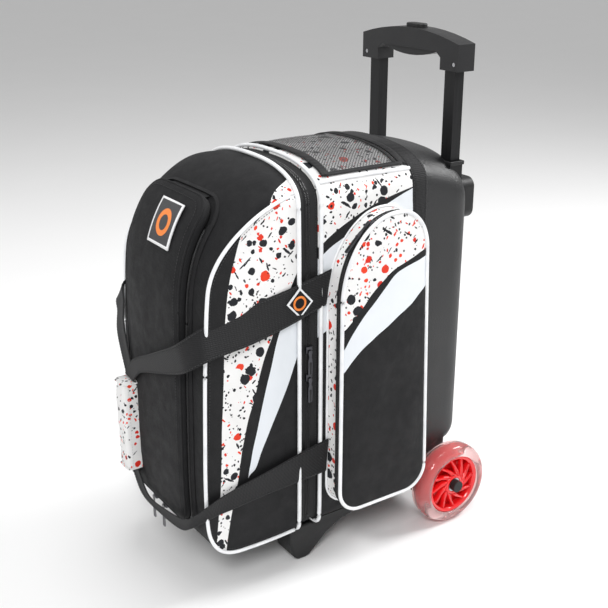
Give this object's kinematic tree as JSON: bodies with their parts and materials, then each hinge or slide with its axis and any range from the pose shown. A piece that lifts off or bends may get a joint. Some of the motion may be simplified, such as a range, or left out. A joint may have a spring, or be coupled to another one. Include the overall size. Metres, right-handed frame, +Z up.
{
  "type": "bowling ball bag",
  "caption": "Upright soft bag for bowling balls with a shoe compartment, side pocket, hard back, wheels and a telescopic pull handle.",
  "frame": {"origin": "centre of the bounding box's base, on the floor", "axes": "+Z up, front of the bag towards -Y, handle and wheels towards +Y, side pocket on +X"},
  "size_m": [0.316, 0.508, 0.732],
  "materials": {
    "print_fabric": "white woven polyester printed with black, red and orange paint spatter",
    "black_fabric": "black coated polyester weave",
    "black_webbing": "black woven webbing",
    "white_piping": "white vinyl piping",
    "zip_tape": "black woven zipper tape with coils",
    "mesh": "grey net",
    "hard_shell": "black moulded shell with a fine grain",
    "grey_board": "stiff lining board",
    "foam": "foam covered in dark lining cloth",
    "black_plastic": "textured black plastic",
    "black_tube": "satin black aluminium tube",
    "steel": "zinc plated",
    "dark_metal": "dark plated die-cast",
    "badge": "smooth moulded badge",
    "red_plastic": "polished red",
    "clear_urethane": "clear polyurethane"
  },
  "bodies": {
    "bag": {"rear_fabric_shell": "print_fabric", "back_shell": "hard_shell", "back_binding": "black_webbing", "back_liner": "grey_board", "foam_ball_base": "foam", "base_plate": "black_plastic", "front_feet": "black_plastic", "wheel_chassis": "black_plastic", "axle": "steel", "axle_caps": "black_plastic", "guide_tubes": "black_tube", "guide_tube_bracket": "black_plastic", "back_bracket": "black_plastic", "tube_collars": "black_plastic", "mesh_pocket": "mesh", "mesh_bindings": "black_webbing", "ring_piping_rear": "white_piping", "main_zip_tape_rear": "zip_tape", "top_edge_piping": "white_piping", "pocket_gusset": "print_fabric", "pocket_zip_tape": "zip_tape", "strap_right_upper": "black_webbing", "strap_right_lower": "black_webbing", "strap_left_upper": "black_webbing", "strap_left_lower": "black_webbing"},
    "front_section": {"lid_shell": "black_fabric", "lid_divider": "foam", "lid_piping": "white_piping", "ring_piping_front": "white_piping", "main_zip_tape_front": "zip_tape", "shoe_zip_tape": "zip_tape"},
    "shoe_door": {"shoe_flap": "black_fabric", "flap_emblem": "badge"},
    "pocket_door": {"pocket_flap": "black_fabric", "pocket_piping": "white_piping"},
    "handle_middle": {"middle_tubes": "black_tube"},
    "handle_upper": {"upper_tubes": "black_tube", "grip_cover": "black_plastic", "grip_insert": "black_plastic", "grip_screws": "steel"},
    "release": {"release_button": "black_plastic", "release_rods": "steel"},
    "wheel_right": {"wheel_core_right": "red_plastic", "tyre_right": "clear_urethane", "bearings_right": "steel"},
    "wheel_left": {"wheel_core_left": "red_plastic", "tyre_left": "clear_urethane", "bearings_left": "steel"},
    "carry_handle": {"handle_wrap": "print_fabric"},
    "main_zip_a": {"main_slider_a": "dark_metal"},
    "main_zip_b": {"main_slider_b": "dark_metal"},
    "main_tab_a": {"main_pull_a": "dark_metal"},
    "main_tab_b": {"main_pull_b": "dark_metal"},
    "shoe_zip_a": {"shoe_slider_a": "dark_metal"},
    "shoe_zip_b": {"shoe_slider_b": "dark_metal"},
    "shoe_tab_a": {"shoe_pull_a": "dark_metal"},
    "shoe_tab_b": {"shoe_pull_b": "dark_metal"},
    "pocket_zip": {"pocket_slider": "dark_metal"},
    "pocket_tab": {"pocket_pull": "black_webbing"}
  },
  "joints": [
    {"name": "front_section_hinge", "type": "hinge", "parent": "bag", "child": "front_section", "pos_m": [0, -0.08, 0.061], "axis": [1, 0, 0], "range_deg": [0, 90]},
    {"name": "shoe_door_hinge", "type": "hinge", "parent": "front_section", "child": "shoe_door", "pos_m": [0, -0.1495, 0.542], "axis": [-1, 0, 0], "range_deg": [0, 90]},
    {"name": "pocket_door_hinge", "type": "hinge", "parent": "bag", "child": "pocket_door", "pos_m": [0.1462, 0.1158, 0.455], "axis": [0, -0.0362, 0.9993], "range_deg": [0, 50]},
    {"name": "handle_middle_slide", "type": "slide", "parent": "bag", "child": "handle_middle", "axis": [0, 0, 1], "range_m": [0, 0.15]},
    {"name": "handle_upper_slide", "type": "slide", "parent": "handle_middle", "child": "handle_upper", "axis": [0, 0, 1], "range_m": [-0.112, 0.134]},
    {"name": "release_press", "type": "slide", "parent": "handle_upper", "child": "release", "axis": [0, 0, -1], "range_m": [0, 0.005], "stiffness_N_per_m": 800},
    {"name": "wheel_right_spin", "type": "hinge", "parent": "bag", "child": "wheel_right", "pos_m": [0.1333, 0.1905, 0.0635], "axis": [1, 0, 0], "continuous": true},
    {"name": "wheel_left_spin", "type": "hinge", "parent": "bag", "child": "wheel_left", "pos_m": [-0.1333, 0.1905, 0.0635], "axis": [1, 0, 0], "continuous": true},
    {"name": "carry_handle_lift", "type": "slide", "parent": "bag", "child": "carry_handle", "axis": [0, -1, 0], "range_m": [0, 0.05], "deforming": ["strap_right_upper", "strap_right_lower", "strap_left_upper", "strap_left_lower", "handle_wrap"]},
    {"name": "main_zip_a_run", "type": "slide", "parent": "bag", "child": "main_zip_a", "axis": [0, 0, 1], "range_m": [0, 0.18]},
    {"name": "main_zip_b_run", "type": "slide", "parent": "bag", "child": "main_zip_b", "axis": [0, 0, 1], "range_m": [-0.19, 0]},
    {"name": "main_tab_a_swing", "type": "hinge", "parent": "main_zip_a", "child": "main_tab_a", "pos_m": [0.121, -0.057, 0.336], "axis": [0, -1, 0], "range_deg": [0, 120]},
    {"name": "main_tab_b_swing", "type": "hinge", "parent": "main_zip_b", "child": "main_tab_b", "pos_m": [0.121, -0.057, 0.296], "axis": [0, -1, 0], "range_deg": [0, 120]},
    {"name": "shoe_zip_a_run", "type": "slide", "parent": "front_section", "child": "shoe_zip_a", "axis": [1, 0, 0], "range_m": [-0.012, 0]},
    {"name": "shoe_zip_b_run", "type": "slide", "parent": "front_section", "child": "shoe_zip_b", "axis": [1, 0, 0], "range_m": [0, 0.045]},
    {"name": "shoe_tab_a_swing", "type": "hinge", "parent": "shoe_zip_a", "child": "shoe_tab_a", "pos_m": [-0.033, -0.2235, 0.095], "axis": [-1, 0, 0], "range_deg": [0, 95]},
    {"name": "shoe_tab_b_swing", "type": "hinge", "parent": "shoe_zip_b", "child": "shoe_tab_b", "pos_m": [-0.003, -0.2235, 0.095], "axis": [-1, 0, 0], "range_deg": [0, 95]},
    {"name": "pocket_zip_run", "type": "hinge", "parent": "bag", "child": "pocket_zip", "pos_m": [0.1432, 0.0791, 0.418], "axis": [1, 0, 0], "range_deg": [0, 35]},
    {"name": "pocket_tab_swing", "type": "hinge", "parent": "pocket_zip", "child": "pocket_tab", "pos_m": [0.1432, 0.01913, 0.50625], "axis": [-1, 0, 0], "range_deg": [0, 100]}
  ]
}
